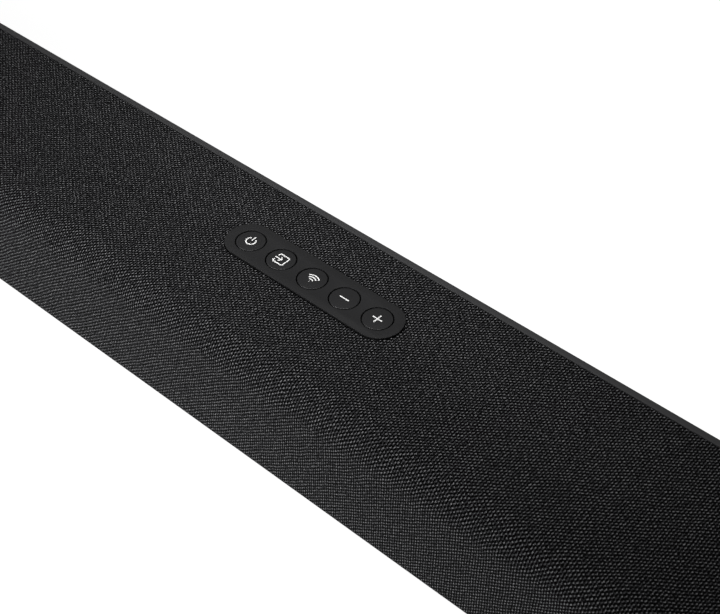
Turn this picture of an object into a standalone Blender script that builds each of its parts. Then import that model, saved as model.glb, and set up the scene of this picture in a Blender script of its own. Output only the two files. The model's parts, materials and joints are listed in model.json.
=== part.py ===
"""A fabric-wrapped television soundbar with a five-button keypad in its top face.

The bar lies along X, its front faces -Y, and Z is up. The origin is on the surface that the bar
stands on, under the middle of the bar. Inside are a driver baffle with four woofers and two dome
tweeters, the keypad's circuit board, the main and power boards, and a tray of sockets at the back.
Lengths are in metres, written as millimetres times MM.
"""

import math

import bmesh
import bpy
from mathutils import Matrix

MM = 0.001

# ---- Driving dimensions -------------------------------------------------------------------------

LENGTH = 914 * MM
DEPTH = 85.7 * MM
BODY_HEIGHT = 55.6 * MM
FOOT_LIFT = 1.6 * MM  # how far the feet hold the body off the surface
GAP = 0.3 * MM  # between pieces that touch on the real bar

FRONT_TOP_RADIUS = 12 * MM
FRONT_BOTTOM_RADIUS = 4 * MM
REAR_BOTTOM_RADIUS = 3 * MM
REAR_TOP_RADIUS = 0.8 * MM

FABRIC_THICKNESS = 0.8 * MM
FRAME_THICKNESS = 2.0 * MM
REAR_STRIP_WIDTH = 3.3 * MM  # bare plastic along the top rear edge
FRAME_UNDERLAP = 14 * MM  # how far cloth and frame fold under the body
WINDOW_COUNT = 14
WINDOW_RIB = 6 * MM
WINDOW_MARGIN = 20 * MM  # solid frame beside each end cap

HOUSING_WALL = 3.0 * MM
LEDGE_DEPTH = 8.5 * MM
LEDGE_THICKNESS = 2.0 * MM

CAP_THICKNESS = 6.0 * MM
CAP_BEVEL = 1.5 * MM
SPIGOT_LENGTH = 7.0 * MM
SPIGOT_WALL = 2.0 * MM

BAFFLE_THICKNESS = 3.0 * MM
BAFFLE_SETBACK = 6.0 * MM  # from the frame's inner face to the baffle's front face
BAFFLE_LIFT = 0.2 * MM  # over the part of the frame that folds under the body
BOSS_RADIUS = 4.0 * MM

BUTTON_COUNT = 5
BUTTON_PITCH = 17.0 * MM
BUTTON_RADIUS = 6.0 * MM
BUTTON_GROOVE = 0.5 * MM  # open ring between a button and the pad
BUTTON_TRAVEL = 0.8 * MM
BUTTON_FLANGE = 0.7 * MM  # how far a button's flange reaches past the pad's hole
BUTTON_FLANGE_HEIGHT = 1.0 * MM
BUTTON_STEM_RADIUS = 2.0 * MM
BUTTON_STEM_LENGTH = 0.7 * MM
PAD_HALF_WIDTH = 10.15 * MM
PAD_END = 10.8 * MM  # pad beyond the centre of its first and last button
PAD_RISE = 0.9 * MM  # how far the pad stands above the cloth
PAD_FLANGE = 2.4 * MM
PAD_FLANGE_HEIGHT = 1.2 * MM
PAD_EDGE = 0.45 * MM
PAD_FROM_REAR = 35.1 * MM  # keypad's centre line from the rear face

BOARD_THICKNESS = 1.6 * MM
SWITCH_SIDE = 6.0 * MM
SWITCH_HEIGHT = 3.5 * MM
SWITCH_PLUNGER_RADIUS = 1.6 * MM
SWITCH_PLUNGER_HEIGHT = 0.8 * MM
PRESS_CLEARANCE = 0.1 * MM  # left over a switch's plunger at full travel
BRACKET_WALL = 2.0 * MM
BRACKET_DROP = 1.0 * MM  # air between the keypad's board and the bracket's floor
RIBBON_HALF_WIDTH = 7 * MM
RIBBON_THICKNESS = 0.6 * MM
RIBBON_INSET = 2 * MM  # ribbon's start from the inside of the bracket's front wall
RIBBON_SWEEP = 8 * MM  # how far forward it runs on its way down
RIBBON_SLOT = 4 * MM
RIBBON_STEPS = 14

DRIVER_CLEARANCE = 1.2 * MM  # between a woofer's rim and the bar's inside, top and bottom
BASKET_DEPTH = 15.0 * MM
BASKET_WALL = 1.0 * MM
BASKET_THROAT = 2.5 * MM  # from the coil former out to the basket's throat
RIM_THICKNESS = 1.5 * MM
RIM_WIDTH = 2.6 * MM
SURROUND_WIDTH = 4.0 * MM
SURROUND_WALL = 0.6 * MM
CONE_WALL = 0.8 * MM
CONE_DEPTH = 7.0 * MM
COIL_RADIUS = 8.0 * MM
COIL_WALL = 0.6 * MM
COIL_CLEARANCE = 0.6 * MM  # on each side of the coil former, in the magnet's slot
DUST_CAP_RISE = 2.4 * MM
MAGNET_LENGTH = 11.0 * MM
MAGNET_INSET = 4.0 * MM  # magnet's radius is this much under the basket's opening
COIL_SLOT_DEPTH = 6.0 * MM
WOOFER_FROM_END = (42 * MM, 104 * MM)
TWEETER_FROM_END = 150 * MM
TWEETER_RIM_RADIUS = 15.0 * MM
TWEETER_CUP_RADIUS = 12.0 * MM
TWEETER_DOME_RADIUS = 9.5 * MM
TWEETER_DEPTH = 12.0 * MM
TWEETER_WELL_DEPTH = 1.0 * MM
TWEETER_DOME_RISE = 2.6 * MM

TRAY_HALF_WIDTH = 75 * MM
TRAY_BOTTOM = 12 * MM
TRAY_UNDER_BRACKET = 0.5 * MM
TRAY_DEPTH = 18 * MM
TRAY_WALL = 2.0 * MM
SOCKET_REACH = 12 * MM  # a socket's body behind the tray's floor
NOSE_LENGTH = 2.3 * MM  # a socket's mouth stands through the tray's floor
PIN_RADIUS = 1.2 * MM
PIN_SPACING = 8.6 * MM
PIN_INSET = 2.0 * MM  # a pin's tip inside its mouth
TONGUE_HALF_WIDTH = 5.4 * MM
TONGUE_THICKNESS = 0.9 * MM
TONGUE_RISE = 0.2 * MM  # its underside above the mouth's middle
TONGUE_INSET = 1.6 * MM
MAIN_BOARD_OVERLAP = 3 * MM  # main board past the tray's sides
MAIN_BOARD_HEIGHT = 14 * MM
BOARD_CLEARANCE = 2 * MM  # from the baffle's back to the boards
POWER_BOARD_AWAY = 18 * MM  # from the main board
POWER_BOARD_FROM_BOSS = 9 * MM
POWER_BOARD_LIFT = 4 * MM
TRANSFORMER = (28 * MM, 24 * MM, 20 * MM)
TRANSFORMER_SETBACK = 6 * MM
TRANSFORMER_BEVEL = 1.5 * MM
HEAT_SINK_FINS = 4
HEAT_SINK_FIN = 1.2 * MM
HEAT_SINK_SLOT = 2.2 * MM
HEAT_SINK_HEIGHT = 10 * MM
HEAT_SINK_PLATE = 2 * MM
HEAT_SINK_SPAN = (-66 * MM, -22 * MM)
HEAT_SINK_SETBACK = 1 * MM
STATUS_BOARD_FROM_END = 232 * MM
STATUS_BOARD_LENGTH = 64 * MM
STATUS_BOARD_HALF_HEIGHT = 6 * MM

KEYHOLE_SPACING = 540 * MM
KEYHOLE_UNDER_TOP = 23.2 * MM  # from the bar's top down to the keyhole's round end
KEYHOLE_RADIUS = 4.6 * MM
KEYHOLE_SLOT_HALF_WIDTH = 2.3 * MM
KEYHOLE_SLOT_LENGTH = 9.0 * MM
PLATE_MARGIN = 6.0 * MM
PLATE_THICKNESS = 1.5 * MM

FOOT_LENGTH = 46 * MM
FOOT_WIDTH = 11 * MM
FOOT_POCKET = 0.8 * MM
FOOT_FROM_END = 70 * MM
FOOT_FROM_REAR = 12 * MM
FOOT_SPREAD = 40 * MM

SCREW_FROM_END = (72 * MM, 232 * MM)
SCREW_HEIGHT = 20 * MM
SCREW_HEAD_RADIUS = 3.1 * MM
SCREW_HEAD_HEIGHT = 1.2 * MM
SCREW_SHANK_RADIUS = 1.4 * MM
SCREW_CROSS = 0.7 * MM
SCREW_LENGTH = 12 * MM
HEAD_POCKET = 1.5 * MM

ROUND_STEPS = 24
SMALL_STEPS = 16
DOME_STEPS = 3

# ---- Places that follow from them ---------------------------------------------------------------

FRONT = -DEPTH / 2
REAR = DEPTH / 2
BOTTOM = FOOT_LIFT
TOP = BOTTOM + BODY_HEIGHT
HALF = LENGTH / 2
CAP_INNER = HALF - CAP_THICKNESS
SKIN_HALF = CAP_INNER - GAP  # cloth, frame and housing end here

FRAME_OUTSET = FABRIC_THICKNESS + GAP
FRAME_INSET = FRAME_OUTSET + FRAME_THICKNESS
FRAME_INNER_TOP = TOP - FRAME_INSET
FRAME_INNER_BOTTOM = BOTTOM + FRAME_INSET
FRAME_INNER_FRONT = FRONT + FRAME_INSET
STRIP_FRONT = REAR - REAR_STRIP_WIDTH
UNDER_END = FRONT + FRAME_UNDERLAP
HOUSING_INNER_REAR = REAR - HOUSING_WALL
HOUSING_INNER_BOTTOM = BOTTOM + HOUSING_WALL
KEYHOLE_HEIGHT = TOP - KEYHOLE_UNDER_TOP


def frame_roof(y):
    """Height of the grille frame's inner face above a point at depth y."""
    centre_y = FRONT + FRONT_TOP_RADIUS
    radius = max(FRONT_TOP_RADIUS - FRAME_INSET, 0)
    if y >= centre_y or centre_y - y > radius:
        return FRAME_INNER_TOP
    return TOP - FRONT_TOP_RADIUS + math.sqrt(radius ** 2 - (centre_y - y) ** 2)


BAFFLE_FRONT = FRAME_INNER_FRONT + BAFFLE_SETBACK
BAFFLE_REAR = BAFFLE_FRONT + BAFFLE_THICKNESS
BAFFLE_BOTTOM = max(HOUSING_INNER_BOTTOM + GAP, FRAME_INNER_BOTTOM + BAFFLE_LIFT)
BAFFLE_TOP = frame_roof(BAFFLE_FRONT) - GAP
DRIVER_HEIGHT = (BAFFLE_BOTTOM + BAFFLE_TOP) / 2

PAD_Y = REAR - PAD_FROM_REAR
PAD_HALF_LENGTH = (BUTTON_COUNT - 1) / 2 * BUTTON_PITCH + PAD_END
PAD_TOP = TOP + PAD_RISE
PAD_FLANGE_TOP = FRAME_INNER_TOP - GAP
PAD_BOTTOM = PAD_FLANGE_TOP - PAD_FLANGE_HEIGHT
FLANGE_TOP = PAD_BOTTOM - GAP
FLANGE_BOTTOM = FLANGE_TOP - BUTTON_FLANGE_HEIGHT
STEM_BOTTOM = FLANGE_BOTTOM - BUTTON_STEM_LENGTH
SWITCH_BOTTOM = (STEM_BOTTOM - BUTTON_TRAVEL - PRESS_CLEARANCE
                 - SWITCH_PLUNGER_HEIGHT - SWITCH_HEIGHT)
KEY_BOARD_TOP = SWITCH_BOTTOM - GAP
KEY_BOARD_BOTTOM = KEY_BOARD_TOP - BOARD_THICKNESS
BRACKET_INNER_HALF_WIDTH = PAD_HALF_WIDTH + PAD_FLANGE + GAP
BRACKET_INNER_HALF_LENGTH = PAD_HALF_LENGTH + PAD_FLANGE + GAP
BRACKET_FLOOR = KEY_BOARD_BOTTOM - BRACKET_DROP
BRACKET_BOTTOM = BRACKET_FLOOR - BRACKET_WALL

TRAY_TOP = BRACKET_BOTTOM - TRAY_UNDER_BRACKET
TRAY_FLOOR = REAR - TRAY_DEPTH
TRAY_FLOOR_BACK = TRAY_FLOOR - TRAY_WALL
SOCKET_HEIGHT = MAIN_BOARD_HEIGHT + BOARD_THICKNESS + GAP
MAIN_BOARD_HALF_WIDTH = TRAY_HALF_WIDTH + MAIN_BOARD_OVERLAP
POWER_BOARD_START = MAIN_BOARD_HALF_WIDTH + POWER_BOARD_AWAY
POWER_BOARD_END = HALF - SCREW_FROM_END[1] - POWER_BOARD_FROM_BOSS

BUTTON_NAMES = ("power_button", "input_button", "wireless_button", "volume_down_button",
                "volume_up_button")


# ---- Materials ----------------------------------------------------------------------------------

def finish(name, colour, roughness, metallic=0.0):
    """A Principled material; colour is linear red, green and blue."""
    material = bpy.data.materials.new(name)
    material.use_nodes = True
    shader = material.node_tree.nodes["Principled BSDF"]
    shader.inputs["Base Color"].default_value = (*colour, 1)
    shader.inputs["Roughness"].default_value = roughness
    shader.inputs["Metallic"].default_value = metallic
    material.diffuse_color = (*colour, 1)
    return material


def make_finishes():
    return {
        "fabric": finish("woven polyester", (0.018, 0.018, 0.019), 0.95),
        "housing": finish("textured ABS", (0.040, 0.040, 0.042), 0.5),
        "inner": finish("plain black ABS", (0.012, 0.012, 0.013), 0.6),
        "pad": finish("silicone rubber", (0.017, 0.017, 0.018), 0.6),
        "foot": finish("foot rubber", (0.010, 0.010, 0.010), 0.85),
        "steel": finish("zinc-plated steel", (0.45, 0.45, 0.46), 0.35, 1.0),
        "black_steel": finish("black screw steel", (0.05, 0.05, 0.05), 0.4, 1.0),
        "nickel": finish("nickel-plated shell", (0.55, 0.54, 0.50), 0.3, 1.0),
        "aluminium": finish("extruded aluminium", (0.60, 0.61, 0.62), 0.35, 1.0),
        "board": finish("green circuit board", (0.010, 0.075, 0.030), 0.45),
        "paper": finish("coated paper cone", (0.022, 0.022, 0.024), 0.8),
        "surround": finish("rubber surround", (0.014, 0.014, 0.014), 0.55),
        "ferrite": finish("ferrite magnet", (0.045, 0.045, 0.048), 0.55),
        "silk": finish("silk dome", (0.030, 0.030, 0.032), 0.7),
        "winding": finish("transformer tape", (0.55, 0.36, 0.05), 0.45),
        "ribbon": finish("ribbon cable", (0.55, 0.55, 0.53), 0.5),
    }


# ---- Shape tools --------------------------------------------------------------------------------

def arc(centre, radius, start, end, steps):
    """Points on an arc, from the start angle to the end angle in degrees, both included."""
    angles = [math.radians(start + (end - start) * i / steps) for i in range(steps + 1)]
    return [(centre[0] + radius * math.cos(a), centre[1] + radius * math.sin(a)) for a in angles]


def dome(radius, base, rise):
    """(radius, height) points from a dome's peak, a rise in front of its base, to its rim."""
    angles = [math.radians(90 * i / DOME_STEPS) for i in range(DOME_STEPS + 1)]
    return [(radius * math.sin(a), base - rise * math.cos(a)) for a in angles]


def pill(half_length, radius, centre_y, steps=ROUND_STEPS // 2):
    """A lengthways stadium outline round (0, centre_y)."""
    reach = half_length - radius
    right = arc((reach, centre_y), radius, -90, 90, steps)
    return right + arc((-reach, centre_y), radius, 90, 270, steps)


def place(name, mesh, material, cutter=False):
    """Puts a mesh in the scene as a named object; a cutter isn't rendered."""
    thing = bpy.data.objects.new(name, mesh)
    bpy.context.scene.collection.objects.link(thing)
    if material:
        mesh.materials.append(material)
    if cutter:
        thing.hide_render = True
        thing.display_type = "WIRE"
    return thing


def finished(bm, name):
    """A mesh from a bmesh, with doubles merged and faces turned outwards."""
    bmesh.ops.remove_doubles(bm, verts=bm.verts, dist=1e-7)
    bmesh.ops.recalc_face_normals(bm, faces=bm.faces)
    mesh = bpy.data.meshes.new(name)
    bm.to_mesh(mesh)
    bm.free()
    return mesh


def extruded(name, outline, travel, material=None, cutter=False):
    """A closed outline of 3D points, carried along the travel vector into a solid."""
    bm = bmesh.new()
    face = bm.faces.new([bm.verts.new(p) for p in outline])
    made = bmesh.ops.extrude_face_region(bm, geom=[face])["geom"]
    moved = [g for g in made if isinstance(g, bmesh.types.BMVert)]
    bmesh.ops.translate(bm, vec=travel, verts=moved)
    return place(name, finished(bm, name), material, cutter)


def along_x(name, section, start, end, material=None, cutter=False):
    """A (y, z) section carried along X."""
    outline = [(start, y, z) for y, z in section]
    return extruded(name, outline, (end - start, 0, 0), material, cutter)


def along_y(name, section, start, end, material=None, cutter=False):
    """An (x, z) section carried along Y."""
    outline = [(x, start, z) for x, z in section]
    return extruded(name, outline, (0, end - start, 0), material, cutter)


def along_z(name, section, start, end, material=None, cutter=False):
    """An (x, y) section carried along Z."""
    outline = [(x, y, start) for x, y in section]
    return extruded(name, outline, (0, 0, end - start), material, cutter)


def rectangle(low, high):
    return [(low[0], low[1]), (high[0], low[1]), (high[0], high[1]), (low[0], high[1])]


def box(name, low, high, material=None, cutter=False):
    return along_z(name, rectangle(low, high), low[2], high[2], material, cutter)


def turned(name, profile, material, centre, steps=ROUND_STEPS, ring=False, axis="Y"):
    """A (radius, height) profile spun round an axis through centre. A ring's profile is a closed
    loop clear of the axis; any other profile runs from axis to axis."""
    bm = bmesh.new()
    verts = [bm.verts.new((radius, 0, height)) for radius, height in profile]
    ends = verts[1:] + verts[:1] if ring else verts[1:]
    edges = [bm.edges.new(pair) for pair in zip(verts, ends)]
    bmesh.ops.spin(bm, geom=verts + edges, cent=(0, 0, 0), axis=(0, 0, 1), angle=math.tau,
                   steps=steps, use_merge=True)
    bmesh.ops.remove_doubles(bm, verts=bm.verts, dist=1e-7)
    bmesh.ops.dissolve_degenerate(bm, edges=bm.edges, dist=1e-7)
    turn = Matrix.Rotation(math.radians(-90), 4, "X") if axis == "Y" else Matrix.Identity(4)
    bmesh.ops.transform(bm, matrix=turn, verts=bm.verts)
    mesh = finished(bm, name)
    mesh.shade_smooth()
    mesh.set_sharp_from_angle(angle=math.radians(35))
    thing = place(name, mesh, material)
    thing.location = centre
    return thing


def cylinder(name, radius, start, end, centre, material=None, axis="Z", steps=ROUND_STEPS,
             cutter=False):
    """A solid round bar from start to end along its axis."""
    circle = arc(centre, radius, 0, 360, steps)[:-1]
    carry = along_z if axis == "Z" else along_y
    return carry(name, circle, start, end, material, cutter)


def boolean(thing, other, operation):
    modifier = thing.modifiers.new(f"{operation.lower()} {other.name}", "BOOLEAN")
    modifier.operation = operation
    modifier.solver = "EXACT"
    modifier.object = other
    if operation == "UNION":
        other.hide_render = True
        other.display_type = "WIRE"
    return thing


def cut(thing, *cutters):
    for cutter in cutters:
        boolean(thing, cutter, "DIFFERENCE")
    return thing


def join(thing, *others):
    for other in others:
        boolean(thing, other, "UNION")
    return thing


def bevel(thing, width, segments=2, angle=40):
    modifier = thing.modifiers.new("bevel", "BEVEL")
    modifier.width = width
    modifier.segments = segments
    modifier.limit_method = "ANGLE"
    modifier.angle_limit = math.radians(angle)
    return thing


# ---- Body ---------------------------------------------------------------------------------------

def skin_line(inset, rear_end):
    """The (y, z) line of the wrapped skin at a depth under the cloth's face: from the rear end of
    the top, forward, round both front edges and back under the body."""
    top = TOP - inset
    front = FRONT + inset
    bottom = BOTTOM + inset
    upper = max(FRONT_TOP_RADIUS - inset, 0.5 * MM)
    lower = max(FRONT_BOTTOM_RADIUS - inset, 0.5 * MM)
    line = [(rear_end, top)]
    line += arc((front + upper, top - upper), upper, 90, 180, 10)
    line += arc((front + lower, bottom + lower), lower, 180, 270, 5)
    line.append((UNDER_END, bottom))
    return line


def skin_section(outer, inner, rear_end):
    """The closed section of a skin layer between two depths."""
    return skin_line(outer, rear_end) + skin_line(inner, rear_end)[::-1]


def pad_hole(name, margin):
    """A cutter for the keypad's hole through the top."""
    outline = pill(PAD_HALF_LENGTH + margin, PAD_HALF_WIDTH + margin, PAD_Y)
    return along_z(name, outline, FRAME_INNER_TOP - LEDGE_THICKNESS, PAD_TOP, cutter=True)


def make_skin(finishes):
    rear_end = STRIP_FRONT - GAP
    fabric = along_x("grille_fabric", skin_section(0, FABRIC_THICKNESS, rear_end),
                     -SKIN_HALF, SKIN_HALF, finishes["fabric"])
    cut(fabric, pad_hole("fabric_hole", GAP))
    frame = along_x("grille_frame", skin_section(FRAME_OUTSET, FRAME_INSET, rear_end),
                    -SKIN_HALF, SKIN_HALF, finishes["inner"])
    cut(frame, pad_hole("frame_hole", GAP), sound_windows())


def sound_windows():
    """One cutter with all the openings through the frame's front."""
    low = BOTTOM + FRONT_BOTTOM_RADIUS + WINDOW_RIB / 2
    high = TOP - FRONT_TOP_RADIUS - WINDOW_RIB / 2
    reach = SKIN_HALF - WINDOW_MARGIN
    pitch = (2 * reach + WINDOW_RIB) / WINDOW_COUNT
    window = box("sound_windows", (-reach, FRONT - GAP, low),
                 (-reach + pitch - WINDOW_RIB, FRAME_INNER_FRONT + WINDOW_RIB, high), cutter=True)
    row = window.modifiers.new("row", "ARRAY")
    row.count = WINDOW_COUNT
    row.use_relative_offset = False
    row.use_constant_offset = True
    row.constant_offset_displace = (pitch, 0, 0)
    return window


def housing_section():
    """Back wall, floor, bare top strip and the ledge that the grille frame sits on."""
    ledge_top = FRAME_INNER_TOP - GAP
    ledge_bottom = ledge_top - LEDGE_THICKNESS
    floor_front = UNDER_END + GAP
    section = [(floor_front, BOTTOM)]
    section += arc((REAR - REAR_BOTTOM_RADIUS, BOTTOM + REAR_BOTTOM_RADIUS),
                   REAR_BOTTOM_RADIUS, -90, 0, 5)
    section += arc((REAR - REAR_TOP_RADIUS, TOP - REAR_TOP_RADIUS), REAR_TOP_RADIUS, 0, 90, 4)
    section += [(STRIP_FRONT, TOP), (STRIP_FRONT, ledge_top)]
    section += [(STRIP_FRONT - LEDGE_DEPTH, ledge_top), (STRIP_FRONT - LEDGE_DEPTH, ledge_bottom)]
    section += [(HOUSING_INNER_REAR, ledge_bottom), (HOUSING_INNER_REAR, HOUSING_INNER_BOTTOM)]
    section.append((floor_front, HOUSING_INNER_BOTTOM))
    return section


def make_housing(finishes):
    housing = along_x("rear_housing", housing_section(), -SKIN_HALF, SKIN_HALF,
                      finishes["housing"])
    through = (HOUSING_INNER_REAR - WINDOW_RIB, REAR + WINDOW_RIB)
    cut(housing, box("tray_opening", (-TRAY_HALF_WIDTH - GAP, through[0], TRAY_BOTTOM - GAP),
                     (TRAY_HALF_WIDTH + GAP, through[1], TRAY_TOP + GAP), cutter=True))
    for side, x in (("left", -KEYHOLE_SPACING / 2), ("right", KEYHOLE_SPACING / 2)):
        cut(housing, keyhole(f"keyhole_{side}", x, GAP, through))
    for name, x, y in foot_places():
        pocket = pill(FOOT_LENGTH / 2 + GAP, FOOT_WIDTH / 2 + GAP, y)
        cut(housing, along_z(f"pocket_{name}", [(px + x, py) for px, py in pocket],
                             BOTTOM - FOOT_LIFT, BOTTOM + FOOT_POCKET, cutter=True))
    for name, x in screw_places():
        centre = (x, SCREW_HEIGHT)
        cut(housing,
            cylinder(f"hole_{name}", SCREW_SHANK_RADIUS + GAP, *through, centre, axis="Y",
                     steps=SMALL_STEPS, cutter=True),
            cylinder(f"head_pocket_{name}", SCREW_HEAD_RADIUS + GAP, REAR - HEAD_POCKET,
                     through[1], centre, axis="Y", steps=SMALL_STEPS, cutter=True))


def rounded_section(left, right, low, high, radii):
    """A (y, z) rectangle whose corners have radii, from the front top corner by way of the
    bottom to the rear top corner."""
    front_top, front_bottom, rear_bottom, rear_top = radii
    section = arc((left + front_top, high - front_top), front_top, 90, 180, 10)
    section += arc((left + front_bottom, low + front_bottom), front_bottom, 180, 270, 5)
    section += arc((right - rear_bottom, low + rear_bottom), rear_bottom, 270, 360, 5)
    return section + arc((right - rear_top, high - rear_top), rear_top, 0, 90, 4)


def cap_section(inset, top_inset):
    """The body's full rounded outline, drawn in by one inset at the top and another elsewhere."""
    radii = [max(radius - inset, 0.3 * MM) for radius in
             (FRONT_TOP_RADIUS, FRONT_BOTTOM_RADIUS, REAR_BOTTOM_RADIUS, REAR_TOP_RADIUS)]
    return rounded_section(FRONT + inset, REAR - inset, BOTTOM + inset, TOP - top_inset, radii)


def make_end_caps(finishes):
    """Each cap is a plate on the end, with a hollow spigot that plugs into frame and housing and
    passes under the housing's ledge."""
    inset = max(FRAME_INSET, HOUSING_WALL) + GAP
    top_inset = FRAME_INSET + GAP + LEDGE_THICKNESS + GAP
    for side, sign in (("left", -1), ("right", 1)):
        cap = along_x(f"end_cap_{side}", cap_section(0, 0), sign * HALF, sign * CAP_INNER,
                      finishes["housing"])
        bevel_outer_rim(cap, sign)
        join(cap, along_x(f"spigot_{side}", cap_section(inset, top_inset),
                          sign * (CAP_INNER + CAP_THICKNESS / 2),
                          sign * (CAP_INNER - SPIGOT_LENGTH)))
        hollow = cap_section(inset + SPIGOT_WALL, top_inset + SPIGOT_WALL)
        cut(cap, along_x(f"spigot_hollow_{side}", hollow, sign * CAP_INNER,
                         sign * (CAP_INNER - 2 * SPIGOT_LENGTH), cutter=True))


def bevel_outer_rim(plate, sign):
    """Rounds the edge between a cap's outer face and its side."""
    mesh = plate.data
    weights = mesh.attributes.new("bevel_weight_edge", "FLOAT", "EDGE")
    for edge in mesh.edges:
        ends = [mesh.vertices[v].co.x * sign for v in edge.vertices]
        weights.data[edge.index].value = 1.0 if min(ends) > HALF - GAP else 0.0
    modifier = plate.modifiers.new("rim", "BEVEL")
    modifier.width = CAP_BEVEL
    modifier.segments = 3
    modifier.limit_method = "WEIGHT"


# ---- Feet, wall plates and screws ---------------------------------------------------------------

def foot_places():
    """(name, x, y) of each foot's centre."""
    rear = REAR - FOOT_FROM_REAR
    places = []
    for side, x in (("left", FOOT_FROM_END - HALF), ("right", HALF - FOOT_FROM_END)):
        places.append((f"foot_front_{side}", x, rear - FOOT_SPREAD))
        places.append((f"foot_rear_{side}", x, rear))
    return places


def make_feet(finishes):
    for name, x, y in foot_places():
        outline = [(px + x, py) for px, py in pill(FOOT_LENGTH / 2, FOOT_WIDTH / 2, y, 12)]
        along_z(name, outline, 0, BOTTOM + FOOT_POCKET - GAP, finishes["foot"])


def keyhole(name, x, margin, through):
    """A keyhole cutter: a round end with a slot above it."""
    half = KEYHOLE_SLOT_HALF_WIDTH + margin
    radius = KEYHOLE_RADIUS + margin
    shoulder = math.degrees(math.acos(half / radius))
    slot_centre = KEYHOLE_HEIGHT + KEYHOLE_SLOT_LENGTH - KEYHOLE_SLOT_HALF_WIDTH
    outline = arc((x, KEYHOLE_HEIGHT), radius, 180 - shoulder, 360 + shoulder, 24)
    outline += arc((x, slot_centre), half, 0, 180, 10)
    return along_y(name, outline, *through, cutter=True)


def make_keyhole_plates(finishes):
    back = HOUSING_INNER_REAR - GAP
    for side, x in (("left", -KEYHOLE_SPACING / 2), ("right", KEYHOLE_SPACING / 2)):
        low = (x - KEYHOLE_RADIUS - PLATE_MARGIN, back - PLATE_THICKNESS,
               KEYHOLE_HEIGHT - KEYHOLE_RADIUS - PLATE_MARGIN)
        high = (x + KEYHOLE_RADIUS + PLATE_MARGIN, back,
                KEYHOLE_HEIGHT + KEYHOLE_SLOT_LENGTH + PLATE_MARGIN / 2)
        plate = box(f"keyhole_plate_{side}", low, high, finishes["steel"])
        cut(plate, keyhole(f"plate_keyhole_{side}", x, 0, (back - PLATE_MARGIN, REAR)))


def screw_places():
    """(name, x) of the four screws through the back wall."""
    ends = [HALF - d for d in SCREW_FROM_END]
    return [(f"housing_screw_{i + 1}", x) for i, x in enumerate([-e for e in ends] + ends[::-1])]


def make_screws(finishes):
    face = REAR - HEAD_POCKET + GAP + SCREW_HEAD_HEIGHT
    tip = face - SCREW_HEAD_HEIGHT - SCREW_LENGTH
    cross = SCREW_CROSS
    reach = SCREW_HEAD_RADIUS * 0.6
    for name, x in screw_places():
        profile = [(0, 0), (SCREW_HEAD_RADIUS, 0), (SCREW_HEAD_RADIUS, -SCREW_HEAD_HEIGHT),
                   (SCREW_SHANK_RADIUS, -SCREW_HEAD_HEIGHT), (SCREW_SHANK_RADIUS, tip - face + MM),
                   (0, tip - face)]
        screw = turned(name, profile, finishes["black_steel"], (x, face, SCREW_HEIGHT), 16)
        low, high = face - SCREW_HEAD_HEIGHT * 0.6, face + MM
        cut(screw,
            box(f"{name}_slot", (x - reach, low, SCREW_HEIGHT - cross / 2),
                (x + reach, high, SCREW_HEIGHT + cross / 2), cutter=True),
            box(f"{name}_cross", (x - cross / 2, low, SCREW_HEIGHT - reach),
                (x + cross / 2, high, SCREW_HEIGHT + reach), cutter=True))


# ---- Keypad -------------------------------------------------------------------------------------

def button_centres():
    first = -(BUTTON_COUNT - 1) / 2 * BUTTON_PITCH
    return [(first + i * BUTTON_PITCH, PAD_Y) for i in range(BUTTON_COUNT)]


def make_pad(finishes):
    """The raised rubber pad: a pill through the cloth, a wider flange under the frame and a round
    hole for each button."""
    outline = pill(PAD_HALF_LENGTH, PAD_HALF_WIDTH, PAD_Y)
    pad = along_z("keypad_pad", outline, PAD_BOTTOM, PAD_TOP, finishes["pad"])
    round_top_edge(pad, PAD_TOP, PAD_EDGE)
    wide = pill(PAD_HALF_LENGTH + PAD_FLANGE, PAD_HALF_WIDTH + PAD_FLANGE, PAD_Y)
    join(pad, along_z("pad_flange", wide, PAD_BOTTOM, PAD_FLANGE_TOP))
    for index, centre in enumerate(button_centres()):
        cut(pad, cylinder(f"button_hole_{index + 1}", BUTTON_RADIUS + BUTTON_GROOVE,
                          PAD_BOTTOM - MM, PAD_TOP + MM, centre, cutter=True))


def round_top_edge(thing, height, width):
    """Bevels the edges that lie at one height, before any other modifier."""
    mesh = thing.data
    weights = mesh.attributes.new("bevel_weight_edge", "FLOAT", "EDGE")
    for edge in mesh.edges:
        lowest = min(mesh.vertices[v].co.z for v in edge.vertices)
        weights.data[edge.index].value = 1.0 if lowest > height - 1e-6 else 0.0
    modifier = thing.modifiers.new("soft edge", "BEVEL")
    modifier.width = width
    modifier.segments = 2
    modifier.limit_method = "WEIGHT"


def make_buttons(finishes):
    """Each button is turned about its own axis: a cap, a flange under the pad and a stem."""
    flange = BUTTON_RADIUS + BUTTON_GROOVE + BUTTON_FLANGE
    edge = PAD_EDGE / 2
    profile = [(0, PAD_TOP), (BUTTON_RADIUS - edge, PAD_TOP), (BUTTON_RADIUS, PAD_TOP - edge),
               (BUTTON_RADIUS, FLANGE_TOP), (flange, FLANGE_TOP), (flange, FLANGE_BOTTOM),
               (BUTTON_STEM_RADIUS, FLANGE_BOTTOM), (BUTTON_STEM_RADIUS, STEM_BOTTOM),
               (0, STEM_BOTTOM)]
    for name, (x, y) in zip(BUTTON_NAMES, button_centres()):
        turned(name, profile, finishes["pad"], (x, y, 0), axis="Z")


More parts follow.
